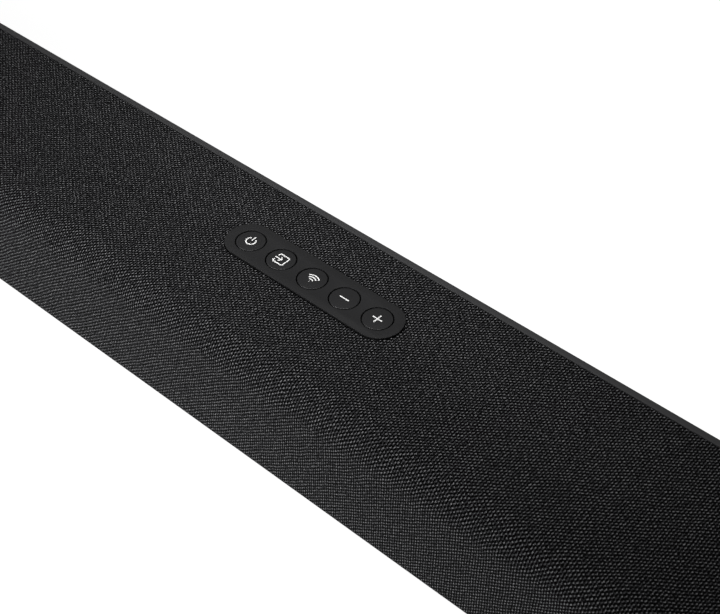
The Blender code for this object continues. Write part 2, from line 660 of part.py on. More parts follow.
def make_key_board(finishes):
    margin = 2 * GAP
    low = (-BRACKET_INNER_HALF_LENGTH + margin, PAD_Y - BRACKET_INNER_HALF_WIDTH + margin)
    high = (BRACKET_INNER_HALF_LENGTH - margin, PAD_Y + BRACKET_INNER_HALF_WIDTH - margin)
    along_z("keypad_board", rectangle(low, high), KEY_BOARD_BOTTOM, KEY_BOARD_TOP,
            finishes["board"])
    half = SWITCH_SIDE / 2
    for name, (x, y) in zip(BUTTON_NAMES, button_centres()):
        switch = box(name.replace("_button", "_switch"), (x - half, y - half, SWITCH_BOTTOM),
                     (x + half, y + half, SWITCH_BOTTOM + SWITCH_HEIGHT), finishes["nickel"])
        plunger_top = SWITCH_BOTTOM + SWITCH_HEIGHT + SWITCH_PLUNGER_HEIGHT
        join(switch, cylinder(f"{name}_plunger", SWITCH_PLUNGER_RADIUS, SWITCH_BOTTOM + MM,
                              plunger_top, (x, y), steps=SMALL_STEPS))


def make_bracket(finishes):
    """An open box that hangs under the frame's top and holds the keypad's board."""
    inner_x, inner_y = BRACKET_INNER_HALF_LENGTH, BRACKET_INNER_HALF_WIDTH
    outer_x, outer_y = inner_x + BRACKET_WALL, inner_y + BRACKET_WALL
    rim = FRAME_INNER_TOP - GAP
    bracket = box("keypad_bracket", (-outer_x, PAD_Y - outer_y, BRACKET_BOTTOM),
                  (outer_x, PAD_Y + outer_y, rim), finishes["inner"])
    ribbon_slot = box("ribbon_slot", (-RIBBON_HALF_WIDTH - GAP, PAD_Y - inner_y + GAP * 2,
                                      BRACKET_BOTTOM - MM),
                      (RIBBON_HALF_WIDTH + GAP, PAD_Y - inner_y + RIBBON_SLOT,
                       BRACKET_FLOOR + MM),
                      cutter=True)
    cut(bracket, box("bracket_hollow", (-inner_x, PAD_Y - inner_y, BRACKET_FLOOR),
                     (inner_x, PAD_Y + inner_y, rim + MM), cutter=True), ribbon_slot)


def make_ribbon(finishes):
    """The flat cable from the keypad's board down to the main board, in one gentle S."""
    start = (PAD_Y - BRACKET_INNER_HALF_WIDTH + RIBBON_INSET, KEY_BOARD_BOTTOM - GAP)
    end = (start[0] - RIBBON_SWEEP, MAIN_BOARD_HEIGHT + BOARD_THICKNESS + GAP)
    line = []
    for i in range(RIBBON_STEPS + 1):
        t = i / RIBBON_STEPS
        ease = t * t * (3 - 2 * t)
        line.append((start[0] + (end[0] - start[0]) * ease, start[1] + (end[1] - start[1]) * t))
    back = [(y + RIBBON_THICKNESS, z) for y, z in line]
    along_x("keypad_ribbon", line + back[::-1], -RIBBON_HALF_WIDTH, RIBBON_HALF_WIDTH,
            finishes["ribbon"])


# ---- Loudspeakers -------------------------------------------------------------------------------

WOOFER_RIM_RADIUS = (BAFFLE_TOP - BAFFLE_BOTTOM) / 2 - DRIVER_CLEARANCE
WOOFER_OPENING = WOOFER_RIM_RADIUS - RIM_WIDTH
CONE_RADIUS = WOOFER_OPENING - GAP - SURROUND_WIDTH - GAP
RIM_BACK = BAFFLE_FRONT - GAP
RIM_FRONT = RIM_BACK - RIM_THICKNESS
MAGNET_RADIUS = WOOFER_OPENING - MAGNET_INSET


def driver_places():
    """(name, x) of each woofer and of each tweeter."""
    woofers, tweeters = [], []
    for side, sign in (("left", -1), ("right", 1)):
        for place_name, distance in zip(("outer", "inner"), WOOFER_FROM_END):
            woofers.append((f"{side}_{place_name}_woofer", sign * (HALF - distance)))
        tweeters.append((f"{side}_tweeter", sign * (HALF - TWEETER_FROM_END)))
    return woofers, tweeters


def make_baffle(finishes):
    baffle = along_y("front_baffle",
                     rectangle((-SKIN_HALF + SPIGOT_LENGTH + GAP, BAFFLE_BOTTOM),
                               (SKIN_HALF - SPIGOT_LENGTH - GAP, BAFFLE_TOP)),
                     BAFFLE_FRONT, BAFFLE_REAR, finishes["inner"])
    woofers, tweeters = driver_places()
    holes = [(name, x, WOOFER_OPENING + 2 * GAP) for name, x in woofers]
    holes += [(name, x, TWEETER_CUP_RADIUS + GAP) for name, x in tweeters]
    for name, x, radius in holes:
        cut(baffle, cylinder(f"{name}_hole", radius, BAFFLE_FRONT - MM, BAFFLE_REAR + MM,
                             (x, DRIVER_HEIGHT), axis="Y", cutter=True))
    for name, x in screw_places():
        centre = (x, SCREW_HEIGHT)
        join(baffle, cylinder(f"{name}_boss", BOSS_RADIUS, BAFFLE_REAR - MM,
                              HOUSING_INNER_REAR - GAP, centre, axis="Y", steps=SMALL_STEPS))
        cut(baffle, cylinder(f"{name}_boss_hole", SCREW_SHANK_RADIUS + GAP / 2,
                             REAR - 2 * SCREW_LENGTH, REAR, centre, axis="Y",
                             steps=SMALL_STEPS, cutter=True))


def make_woofer(name, x, finishes):
    """Basket, magnet, cone and surround on one axis along Y."""
    centre = (x, 0, DRIVER_HEIGHT)
    wall = BASKET_WALL
    seat = RIM_BACK + BASKET_DEPTH
    throat = COIL_RADIUS + BASKET_THROAT
    basket = [(WOOFER_OPENING - wall, RIM_FRONT), (WOOFER_RIM_RADIUS, RIM_FRONT),
              (WOOFER_RIM_RADIUS, RIM_BACK), (WOOFER_OPENING, RIM_BACK),
              (WOOFER_OPENING, BAFFLE_REAR + wall), (MAGNET_RADIUS, seat),
              (throat, seat), (throat, seat - wall), (MAGNET_RADIUS - wall, seat - wall),
              (WOOFER_OPENING - wall, BAFFLE_REAR + wall)]
    turned(f"{name}_basket", basket, finishes["black_steel"], centre, ring=True)
    turned(f"{name}_magnet", magnet_profile(seat + GAP), finishes["ferrite"], centre)
    cone_edge = RIM_FRONT + GAP
    turned(f"{name}_cone", cone_profile(cone_edge, seat), finishes["paper"], centre)
    turned(f"{name}_surround", surround_profile(cone_edge), finishes["surround"], centre,
           ring=True)


def magnet_profile(front):
    """A ferrite ring and its pole piece, with an open slot for the voice coil."""
    inner = COIL_RADIUS - COIL_WALL - COIL_CLEARANCE
    outer = COIL_RADIUS + COIL_CLEARANCE
    back = front + MAGNET_LENGTH
    return [(0, front), (inner, front), (inner, front + COIL_SLOT_DEPTH),
            (outer, front + COIL_SLOT_DEPTH), (outer, front), (MAGNET_RADIUS, front),
            (MAGNET_RADIUS, back), (0, back)]


def cone_profile(edge, seat):
    """Dust cap, paper cone and coil former in one profile, front face first."""
    neck = edge + CONE_DEPTH
    inside = COIL_RADIUS - COIL_WALL
    cap = dome(COIL_RADIUS, neck - CONE_WALL, DUST_CAP_RISE)
    under = dome(inside, neck, DUST_CAP_RISE)[::-1]
    former_end = seat + GAP + COIL_SLOT_DEPTH / 2
    return (cap + [(CONE_RADIUS, edge), (CONE_RADIUS, edge + CONE_WALL)]
            + [(COIL_RADIUS, neck + CONE_WALL), (COIL_RADIUS, former_end), (inside, former_end)]
            + under)


def surround_profile(edge):
    """A half roll between the cone's edge and the basket."""
    start = CONE_RADIUS + GAP
    end = WOOFER_OPENING - BASKET_WALL - GAP
    middle = (start + end) / 2
    outer = (end - start) / 2
    roll = arc((middle, edge + SURROUND_WALL), outer, 180, 360, 4)
    inner = arc((middle, edge + SURROUND_WALL), outer - SURROUND_WALL, 360, 180, 4)
    return roll + inner


def make_tweeter(name, x, finishes):
    centre = (x, 0, DRIVER_HEIGHT)
    floor = RIM_BACK + TWEETER_WELL_DEPTH
    well = TWEETER_DOME_RADIUS + 2 * GAP
    cup = [(0, floor), (well, floor), (well, RIM_FRONT),
           (TWEETER_RIM_RADIUS, RIM_FRONT), (TWEETER_RIM_RADIUS, RIM_BACK),
           (TWEETER_CUP_RADIUS, RIM_BACK), (TWEETER_CUP_RADIUS, RIM_BACK + TWEETER_DEPTH),
           (0, RIM_BACK + TWEETER_DEPTH)]
    turned(f"{name}_frame", cup, finishes["inner"], centre)
    outside = dome(TWEETER_DOME_RADIUS, RIM_BACK, TWEETER_DOME_RISE)
    inside = dome(TWEETER_DOME_RADIUS - SURROUND_WALL, RIM_BACK,
                  TWEETER_DOME_RISE - SURROUND_WALL)[::-1]
    turned(f"{name}_dome", outside + inside, finishes["silk"], centre)


# ---- Electronics and sockets --------------------------------------------------------------------

# name, x of the centre, height of the mouth's centre over the socket's base, mouth's half width
# and half height, wall round the mouth, depth of the mouth and finish
SOCKETS = (
    ("mains_inlet", 52 * MM, 6.4 * MM, 7.2 * MM, 3.9 * MM, 1.6 * MM, 9 * MM, "inner"),
    ("video_socket", -44 * MM, 4.4 * MM, 7.1 * MM, 2.35 * MM, 0.8 * MM, 9 * MM, "nickel"),
    ("optical_socket", -16 * MM, 5.0 * MM, 3.1 * MM, 3.1 * MM, 1.4 * MM, 8 * MM, "inner"),
    ("aux_socket", 8 * MM, 4.6 * MM, 1.8 * MM, 1.8 * MM, 1.7 * MM, 10 * MM, "inner"),
)


def mouth_section(x, height, half_width, half_height, name, grow=0.0):
    """The (x, z) outline of a socket's mouth, each to its own plug."""
    half_width += grow
    half_height += grow
    if name == "aux_socket":
        return arc((x, height), half_width, 0, 360, SMALL_STEPS)[:-1]
    if name == "mains_inlet":
        reach = half_width - half_height
        right = arc((x + reach, height), half_height, -90, 90, 8)
        return right + arc((x - reach, height), half_height, 90, 270, 8)
    if name == "video_socket":
        taper = half_height * 0.7
        return [(x - half_width + taper, height - half_height),
                (x + half_width - taper, height - half_height),
                (x + half_width, height - half_height + taper),
                (x + half_width, height + half_height), (x - half_width, height + half_height),
                (x - half_width, height - half_height + taper)]
    return rectangle((x - half_width, height - half_height), (x + half_width,
                                                              height + half_height))


def make_tray(finishes):
    """The recessed socket panel: a shallow box in the back wall, open to the rear."""
    low = (-TRAY_HALF_WIDTH, TRAY_FLOOR_BACK, TRAY_BOTTOM)
    high = (TRAY_HALF_WIDTH, REAR, TRAY_TOP)
    tray = box("socket_tray", low, high, finishes["inner"])
    hollow_low = (low[0] + TRAY_WALL, TRAY_FLOOR, low[2] + TRAY_WALL)
    hollow_high = (high[0] - TRAY_WALL, REAR + MM, high[2] - TRAY_WALL)
    cut(tray, box("tray_hollow", hollow_low, hollow_high, cutter=True))
    for name, x, rise, half_width, half_height, wall, _, _ in SOCKETS:
        outline = mouth_section(x, SOCKET_HEIGHT + rise, half_width, half_height, name,
                                wall + GAP)
        cut(tray, along_y(f"{name}_port", outline, TRAY_FLOOR_BACK - MM, TRAY_FLOOR + MM,
                          cutter=True))


def make_sockets(finishes):
    back = TRAY_FLOOR_BACK - GAP
    nose = TRAY_FLOOR_BACK + NOSE_LENGTH
    for name, x, rise, half_width, half_height, wall, depth, look in SOCKETS:
        height = SOCKET_HEIGHT + rise
        body_low = (x - half_width - 2 * wall, back - SOCKET_REACH, SOCKET_HEIGHT)
        body_high = (x + half_width + 2 * wall, back, height + half_height + 2 * wall)
        socket = box(name, body_low, body_high, finishes[look])
        join(socket, along_y(f"{name}_nose",
                             mouth_section(x, height, half_width, half_height, name, wall),
                             back - MM, nose))
        cut(socket, along_y(f"{name}_mouth",
                            mouth_section(x, height, half_width, half_height, name),
                            nose - depth, nose + MM, cutter=True))
        for tongue in tongues(name, x, height, nose - depth, nose):
            join(socket, tongue)


def tongues(name, x, height, floor, nose):
    """What stands inside a mouth: the mains inlet's two pins, or the video socket's tongue."""
    if name == "mains_inlet":
        return [cylinder(f"mains_pin_{i}", PIN_RADIUS, floor - MM, nose - PIN_INSET,
                         (x + sign * PIN_SPACING / 2, height), axis="Y", steps=12)
                for i, sign in enumerate((-1, 1))]
    if name == "video_socket":
        base = height + TONGUE_RISE
        return [box("video_tongue", (x - TONGUE_HALF_WIDTH, floor - MM, base),
                    (x + TONGUE_HALF_WIDTH, nose - TONGUE_INSET, base + TONGUE_THICKNESS))]
    return []


def make_boards(finishes):
    front = BAFFLE_REAR + BOARD_CLEARANCE
    top = MAIN_BOARD_HEIGHT + BOARD_THICKNESS
    along_z("main_board", rectangle((-MAIN_BOARD_HALF_WIDTH, front),
                                    (MAIN_BOARD_HALF_WIDTH, TRAY_FLOOR_BACK - GAP)),
            MAIN_BOARD_HEIGHT, top, finishes["board"])
    low = HOUSING_INNER_BOTTOM + POWER_BOARD_LIFT
    along_z("power_board", rectangle((POWER_BOARD_START, front),
                                     (POWER_BOARD_END, HOUSING_INNER_REAR - POWER_BOARD_LIFT)),
            low, low + BOARD_THICKNESS, finishes["board"])
    make_transformer(low + BOARD_THICKNESS + GAP, front + TRANSFORMER_SETBACK, finishes)
    make_heat_sink(top + GAP, front + HEAT_SINK_SETBACK, finishes)
    make_status_board(finishes)


def make_transformer(base, front, finishes):
    """The taped transformer in the middle of the power board."""
    middle = (POWER_BOARD_START + POWER_BOARD_END) / 2
    width, depth, height = TRANSFORMER
    transformer = box("transformer", (middle - width / 2, front, base),
                      (middle + width / 2, front + depth, base + height), finishes["winding"])
    bevel(transformer, TRANSFORMER_BEVEL, 1)


def make_heat_sink(base, front, finishes):
    """A finned extrusion on the main board, its fins along X."""
    pitch = HEAT_SINK_FIN + HEAT_SINK_SLOT
    top = base + HEAT_SINK_HEIGHT
    section = [(front, base), (front + HEAT_SINK_FINS * pitch - HEAT_SINK_SLOT, base)]
    for i in reversed(range(HEAT_SINK_FINS)):
        left = front + i * pitch
        section += [(left + HEAT_SINK_FIN, top), (left, top)]
        if i:
            section += [(left, base + HEAT_SINK_PLATE),
                        (left - HEAT_SINK_SLOT, base + HEAT_SINK_PLATE)]
    along_x("heat_sink", section, *HEAT_SINK_SPAN, finishes["aluminium"])


def make_status_board(finishes):
    """The small board of status lights that shine out through the cloth, near the left end."""
    front = FRAME_INNER_FRONT + GAP
    start = STATUS_BOARD_FROM_END - HALF
    outline = rectangle((start, DRIVER_HEIGHT - STATUS_BOARD_HALF_HEIGHT),
                        (start + STATUS_BOARD_LENGTH, DRIVER_HEIGHT + STATUS_BOARD_HALF_HEIGHT))
    along_y("status_light_board", outline, front, front + BOARD_THICKNESS, finishes["board"])


# ---- The whole bar ------------------------------------------------------------------------------

def build():
    for thing in list(bpy.data.objects):
        bpy.data.objects.remove(thing)
    finishes = make_finishes()
    make_skin(finishes)
    make_housing(finishes)
    make_end_caps(finishes)
    make_feet(finishes)
    make_keyhole_plates(finishes)
    make_screws(finishes)
    make_pad(finishes)
    make_buttons(finishes)
    make_key_board(finishes)
    make_bracket(finishes)
    make_ribbon(finishes)
    make_baffle(finishes)
    woofers, tweeters = driver_places()
    for name, x in woofers:
        make_woofer(name, x, finishes)
    for name, x in tweeters:
        make_tweeter(name, x, finishes)
    make_tray(finishes)
    make_sockets(finishes)
    make_boards(finishes)


build()
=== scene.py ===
"""Finishes the soundbar: its woven cloth, keypad, casing, drivers and sockets, on a pale floor.

Lengths are in metres, and MM turns millimetres to metres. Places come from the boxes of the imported
frame's nodes.
"""

import json
import math

import bmesh
import bpy
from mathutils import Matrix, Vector


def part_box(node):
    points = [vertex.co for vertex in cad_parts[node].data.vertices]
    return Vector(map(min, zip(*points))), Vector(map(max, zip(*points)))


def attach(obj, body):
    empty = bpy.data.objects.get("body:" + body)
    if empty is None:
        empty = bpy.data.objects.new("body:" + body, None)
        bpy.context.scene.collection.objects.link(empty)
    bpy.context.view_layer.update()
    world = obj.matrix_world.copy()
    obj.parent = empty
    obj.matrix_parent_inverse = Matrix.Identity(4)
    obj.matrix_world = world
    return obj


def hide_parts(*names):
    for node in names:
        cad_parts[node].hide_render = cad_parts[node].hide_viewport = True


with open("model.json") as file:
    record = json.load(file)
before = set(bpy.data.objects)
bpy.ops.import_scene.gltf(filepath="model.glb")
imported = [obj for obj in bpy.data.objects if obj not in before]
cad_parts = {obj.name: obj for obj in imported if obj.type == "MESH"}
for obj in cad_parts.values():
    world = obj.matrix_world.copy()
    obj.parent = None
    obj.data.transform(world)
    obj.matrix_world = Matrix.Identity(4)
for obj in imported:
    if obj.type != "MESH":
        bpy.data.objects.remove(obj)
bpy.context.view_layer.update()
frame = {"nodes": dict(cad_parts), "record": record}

bl_info = {
    "name": "Fabric Soundbar",
    "version": (1, 0, 0),
    "blender": (4, 5, 0),
    "location": "3D View > Sidebar > Soundbar",
    "description": "Builds a cloth-wrapped soundbar with a raised keypad around its packed frame",
    "category": "Object",
}

MM = 0.001
CLOTH_LOW, CLOTH_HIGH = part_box("grille_fabric")
PAD_LOW, PAD_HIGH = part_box("keypad_pad")
KEYPAD_Y = (PAD_LOW.y + PAD_HIGH.y) / 2
BUTTONS = ("power", "input", "wireless", "volume_down", "volume_up")
CUTTER_REACH = 5 * MM  # how far a cutter stands past what it cuts
TOUCHING = 0.01 * MM  # two heights this near count as one
FINISHES = {}


def finish(slot):
    """The material that stands in a slot."""
    return FINISHES[slot]


def linear(hex_colour):
    """Linear red, green and blue of an sRGB hex colour."""
    channels = [int(hex_colour[i:i + 2], 16) / 255 for i in (1, 3, 5)]
    return [c / 12.92 if c <= 0.04045 else ((c + 0.055) / 1.055) ** 2.4 for c in channels]


# ---- Settings -----------------------------------------------------------------------------------

def length(name, description, default):
    return bpy.props.FloatProperty(name=name, description=description, default=default,
                                   min=0, precision=5, unit="LENGTH", subtype="DISTANCE")


def colour(name, description, default):
    return bpy.props.FloatVectorProperty(name=name, description=description,
                                         default=linear(default), size=3, min=0, max=1,
                                         subtype="COLOR")


class SoundbarSizes(bpy.types.PropertyGroup):
    front_top_radius: length("Front top radius", "Round edge between top and front", 12 * MM)
    front_bottom_radius: length("Front bottom radius", "Round edge under the front", 4 * MM)
    cloth_thickness: length("Cloth thickness", "Thickness of the woven cloth", 0.8 * MM)
    cloth_lip: length("Cloth lip", "Rounding where the cloth turns in at an edge", 0.3 * MM)
    cloth_under: length("Cloth under the body", "Reach of the cloth under the body", 14 * MM)
    cloth_margin: length("Cloth margin", "Gap round the pad in the cloth's hole", 0.12 * MM)
    pad_radius: length("Pad radius", "Half the raised pad's width", 10.15 * MM)
    pad_flange: length("Pad flange", "Reach of the pad's flange under the cloth", 2.4 * MM)
    pad_flange_height: length("Pad flange height", "Thickness of that flange", 1.2 * MM)
    pad_undercut: length("Pad undercut", "How far the pad's wall leans in under its rim", 0.5 * MM)
    pad_rim: length("Pad rim", "Height of the rim over the undercut", 0.45 * MM)
    pad_edge: length("Pad edge", "Rounding of the pad's top edge", 0.2 * MM)
    button_radius: length("Button radius", "Radius of a button's cap", 6.0 * MM)
    button_groove: length("Button groove", "Open ring round each button", 0.5 * MM)
    button_edge: length("Button edge", "Rounding of a button's top edge", 0.3 * MM)
    button_flange_height: length("Button flange height", "Thickness of its flange", 1.0 * MM)
    button_stem: length("Button stem", "Length of the stem under the flange", 0.7 * MM)
    button_stem_radius: length("Button stem radius", "Radius of that stem", 2.0 * MM)
    ink: length("Ink thickness", "How far a printed symbol stands up", 0.03 * MM)
    symbol_stroke: length("Symbol stroke", "Width of the printed lines", 0.52 * MM)
    warp_pitch: length("Warp pitch", "From one warp yarn to the next along the bar", 1.12 * MM)
    weft_pitch: length("Weft pitch", "From one weft yarn to the next round the body", 0.865 * MM)


class SoundbarColours(bpy.types.PropertyGroup):
    yarn: colour("Yarn", "Charcoal polyester yarn", "#1b1b1c")
    # Painted highlight: a colour far lighter than the yarn, laid on the crowns of the thickest knots
    # as if they caught the light.
    painted_knot_highlight: colour("Painted knot highlight", "Crown of the thickest knots", "#828283")
    # Painted shade: near black laid into the pores between the yarns, where shade falls.
    painted_pore_shade: colour("Painted pore shade", "Depth between the yarns", "#010101")
    casing: colour("Casing", "Textured ABS of the back and the ends", "#3a3a3b")
    pad: colour("Pad", "Silicone rubber of the pad and buttons", "#212122")
    ink: colour("Symbols", "Printed symbols on the buttons", "#fafaf8")
    floor: colour("Floor", "Pale studio floor", "#959595")


# ---- Materials ----------------------------------------------------------------------------------

def add_node(material, kind, inputs=None, **settings):
    """Adds a shader node; an input is a value, or a socket to link from, under its name."""
    node = material.node_tree.nodes.new("ShaderNode" + kind)
    for name, value in settings.items():
        setattr(node, name, value)
    for name, value in (inputs or {}).items():
        if isinstance(value, bpy.types.NodeSocket):
            material.node_tree.links.new(value, node.inputs[name])
        else:
            node.inputs[name].default_value = value
    return node


def new_material(name, base, roughness, **shader_inputs):
    """A Principled material with constants on the shader's own sockets."""
    material = bpy.data.materials.new(name)
    material.use_nodes = True
    shader = material.node_tree.nodes["Principled BSDF"]
    shader.inputs["Base Color"].default_value = (*base, 1)
    shader.inputs["Roughness"].default_value = roughness
    for socket, value in shader_inputs.items():
        shader.inputs[socket.replace("_", " ")].default_value = value
    return material, shader


def join_to(material, socket, target):
    material.node_tree.links.new(socket, target)


def wave(material, across, along, turns, phase):
    """Cosine of a crossing of the weave: turns[0] half circles for each yarn across the bar,
    turns[1] for each yarn round it, and a phase."""
    first = add_node(material, "Math", {0: across, 1: turns[0] * math.pi, 2: phase},
                     operation="MULTIPLY_ADD")
    both = add_node(material, "Math", {0: along, 1: turns[1] * math.pi, 2: first.outputs[0]},
                    operation="MULTIPLY_ADD")
    return add_node(material, "Math", {0: both.outputs[0]}, operation="COSINE").outputs[0]


# Half circles for each yarn along the bar and round it, phase in degrees and share of the relief:
# first the ribs along the warp, then the slant of the knots one way and the other, then what
# makes each knot crisp.
WEAVE_WAVES = (((2, 0), 150, 0.42), ((1, -1), -131, 0.40), ((1, 1), -179, 0.05),
               ((0, 2), 46, 0.07), ((3, 1), -32, 0.08), ((2, 2), 54, 0.07))
# Where each step of painted light and shade stands between the deepest pore at 0 and the highest
# knot at 1, and how many times as light as the plain yarn it is: higher knots get painted highlight,
# lower ones painted shade.
PAINTED_KNOT_SHADING = ((0.37, 0.5), (0.5, 1.7), (0.64, 3.2), (0.78, 6.0))
PORE_LEVEL = 0.27
WANDER_TURNS = 65  # a yarn wanders from side to side about every 15 mm, so 65 times a metre
WANDER = 1.4 * MM  # of noise that keeps within a fifth of its range, so about 0.3 mm


def woven_polyester(colours, sizes):
    """Loosely spun polyester in a plain weave: rows of small slanted knots with pores between them.
    Its colour paints shade into the pores and highlights onto the knots. Its map runs in metres
    along the bar and round the body."""
    material, shader = new_material("woven polyester", colours.yarn, 0.95,
                                    Specular_IOR_Level=0.05)
    flat = add_node(material, "UVMap", uv_map="cloth").outputs[0]
    wander = add_node(material, "TexNoise", {"Vector": flat, "Scale": WANDER_TURNS, "Detail": 2})
    centred = add_node(material, "VectorMath",
                       {0: wander.outputs["Color"], 1: (0.5, 0.5, 0.5)}, operation="SUBTRACT")
    drift = add_node(material, "VectorMath",
                     {0: centred.outputs[0], 1: (WANDER, WANDER, 0), 2: flat},
                     operation="MULTIPLY_ADD")
    yarns = add_node(material, "VectorMath",
                     {0: drift.outputs[0], 1: (1 / sizes.warp_pitch, 1 / sizes.weft_pitch, 1)},
                     operation="MULTIPLY")
    split = add_node(material, "SeparateXYZ", {0: yarns.outputs[0]})
    relief = 0.0
    for turns, phase, share in WEAVE_WAVES:
        crest = wave(material, split.outputs[0], split.outputs[1], turns, math.radians(phase))
        relief = add_node(material, "Math", {0: crest, 1: share, 2: relief},
                          operation="MULTIPLY_ADD").outputs[0]
    # Spun yarn is thick in one knot and thin in the next, and fuzzy within each.
    spun = add_node(material, "TexNoise", {"Vector": yarns.outputs[0], "Scale": 0.75, "Detail": 2})
    strength = add_node(material, "MapRange",
                        {0: spun.outputs["Fac"], 1: 0.3, 2: 0.7, 3: 0.7, 4: 1.7})
    uneven = add_node(material, "Math", {0: relief, 1: strength.outputs[0]}, operation="MULTIPLY")
    fuzz = add_node(material, "TexNoise", {"Vector": yarns.outputs[0], "Scale": 1.4, "Detail": 4})
    loose = add_node(material, "Math", {0: fuzz.outputs["Fac"], 1: 3.4, 2: -1.7},
                     operation="MULTIPLY_ADD")
    level = add_node(material, "Math", {0: uneven.outputs[0], 1: loose.outputs[0]},
                     operation="ADD")
    scaled = add_node(material, "Math", {0: level.outputs[0], 1: 0.49, 2: 0.435},
                      operation="MULTIPLY_ADD")
    # Painted light and shade: the relief's height becomes colour, near black in the pores as painted
    # shade and light on the highest knots as painted highlight.
    ramp = add_node(material, "ValToRGB", {0: scaled.outputs[0]})
    stops = ramp.color_ramp.elements
    stops[0].position, stops[0].color = PORE_LEVEL, (*colours.painted_pore_shade, 1)
    stops[1].position, stops[1].color = 1.0, (*colours.painted_knot_highlight, 1)
    for position, shade in PAINTED_KNOT_SHADING:
        stops.new(position).color = (*(shade * channel for channel in colours.yarn), 1)
    join_to(material, ramp.outputs[0], shader.inputs["Base Color"])
    bump = add_node(material, "Bump", {"Height": scaled.outputs[0], "Distance": 0.35 * MM,
                                       "Strength": 0.45})
    join_to(material, bump.outputs[0], shader.inputs["Normal"])
    return material


def grained(name, base, roughness, grain, depth, uneven=0.06, **shader_inputs):
    """A material with grain of a real size in metres, as from a spark-eroded mould or a rolled
    sheet, and slightly uneven gloss."""
    material, shader = new_material(name, base, roughness, **shader_inputs)
    place = add_node(material, "TexCoord").outputs["Object"]
    fine = add_node(material, "TexNoise", {"Vector": place, "Scale": 1 / grain, "Detail": 3})
    bump = add_node(material, "Bump", {"Height": fine.outputs["Fac"], "Distance": depth,
                                       "Strength": 0.5})
    join_to(material, bump.outputs[0], shader.inputs["Normal"])
    broad = add_node(material, "TexNoise", {"Vector": place, "Scale": 25, "Detail": 4})
    gloss = add_node(material, "MapRange", {0: broad.outputs["Fac"], 1: 0.3, 2: 0.7,
                                            3: roughness - uneven, 4: roughness + uneven})
    join_to(material, gloss.outputs[0], shader.inputs["Roughness"])
    return material


def circuit_board():
    """Glass-filled epoxy under green solder mask, with copper runs showing as lighter lanes."""
    material, shader = new_material("solder-masked epoxy", linear("#0f3d22"), 0.35)
    place = add_node(material, "TexCoord").outputs["Object"]
    lanes = add_node(material, "TexBrick",
                     {"Vector": place, "Scale": 90, "Color1": (*linear("#0f3d22"), 1),
                      "Color2": (*linear("#124427"), 1), "Mortar": (*linear("#1d5c36"), 1),
                      "Mortar Size": 0.03})
    join_to(material, lanes.outputs["Color"], shader.inputs["Base Color"])
    return material


def make_materials(colours, sizes):
    plastic = {"Specular_IOR_Level": 0.4}
    metal = {"Metallic": 1.0}
    return {
        "fabric": woven_polyester(colours, sizes),
        "housing": grained("textured ABS", colours.casing, 0.5, 0.35 * MM, 0.03 * MM, **plastic),
        "inner_abs": grained("black moulded ABS", linear("#1a1a1b"), 0.55, 0.4 * MM, 0.02 * MM),
        "pad_rubber": grained("matt silicone rubber", colours.pad, 0.46, 0.22 * MM, 0.006 * MM,
                              Specular_IOR_Level=0.4),
        # The ink glows faintly, painted light that no lamp gives, so it looks a little whiter than
        # white.
        "ink": grained("screen-printed ink with painted glow", colours.ink, 0.6, 0.15 * MM, 0.004 * MM,
                       Emission_Color=(1, 1, 1, 1), Emission_Strength=0.15),
        "foot_rubber": grained("foot rubber", linear("#161616"), 0.85, 0.5 * MM, 0.05 * MM),
        "zinc_steel": grained("zinc-plated steel", linear("#aeb0b2"), 0.38, 1.5 * MM, 0.01 * MM,
                              **metal),
        "black_steel": grained("black oxide steel", linear("#2a2a2c"), 0.42, 0.6 * MM, 0.01 * MM,
                               **metal),
        "nickel": grained("nickel-plated shell", linear("#b9b4a6"), 0.3, 1.0 * MM, 0.006 * MM,
                          **metal),
        "aluminium": grained("extruded aluminium", linear("#c3c5c7"), 0.35, 0.8 * MM, 0.01 * MM,
                             **metal),
        "board": circuit_board(),
        "paper_cone": grained("coated paper", linear("#262628"), 0.75, 0.9 * MM, 0.08 * MM),
        "surround_rubber": grained("butyl rubber", linear("#141414"), 0.5, 0.5 * MM, 0.02 * MM),
        "ferrite": grained("sintered ferrite", linear("#3a3a3d"), 0.55, 0.7 * MM, 0.04 * MM),
        "silk_dome": grained("treated silk", linear("#2c2c2f"), 0.65, 0.3 * MM, 0.03 * MM),
        "winding": grained("polyester tape", linear("#c79a2b"), 0.35, 2.0 * MM, 0.03 * MM),
        "gold": grained("gold-plated contact", linear("#d9b45a"), 0.3, 0.5 * MM, 0.002 * MM,
                        **metal),
        "lens": grained("red optical lens", linear("#5a0d0c"), 0.12, 1 * MM, 0.001 * MM),
        "ribbon": grained("flat cable", linear("#b8b8b2"), 0.45, 0.6 * MM, 0.02 * MM),
    }


# ---- Modelling tools ----------------------------------------------------------------------------

def start(name):
    """Names the primitive that was just added."""
    thing = bpy.context.active_object
    thing.name = name
    thing.data.name = name
    return thing


def deselect():
    bpy.ops.object.select_all(action="DESELECT")


def only(thing):
    deselect()
    thing.select_set(True)
    bpy.context.view_layer.objects.active = thing


def edit(thing, mode="FACE"):
    """Opens the mesh for editing with nothing selected."""
    only(thing)
    bpy.ops.object.mode_set(mode="EDIT")
    bpy.ops.mesh.select_mode(type=mode)
    bpy.ops.mesh.select_all(action="DESELECT")


def done():
    bpy.ops.object.mode_set(mode="OBJECT")


def pick(thing, test):
    """Selects the elements of the present mode that pass a test of their centre and normal."""
    mesh = bmesh.from_edit_mesh(thing.data)
    mode = tuple(bpy.context.tool_settings.mesh_select_mode)
    for vert in mesh.verts:
        if mode[0]:
            vert.select_set(test(vert.co, vert.normal))
    for edge in mesh.edges:
        if mode[1]:
            edge.select_set(test((edge.verts[0].co + edge.verts[1].co) / 2, None))
    for face in mesh.faces:
        if mode[2]:
            face.select_set(test(face.calc_center_median(), face.normal))
    mesh.select_flush_mode()
    bmesh.update_edit_mesh(thing.data)


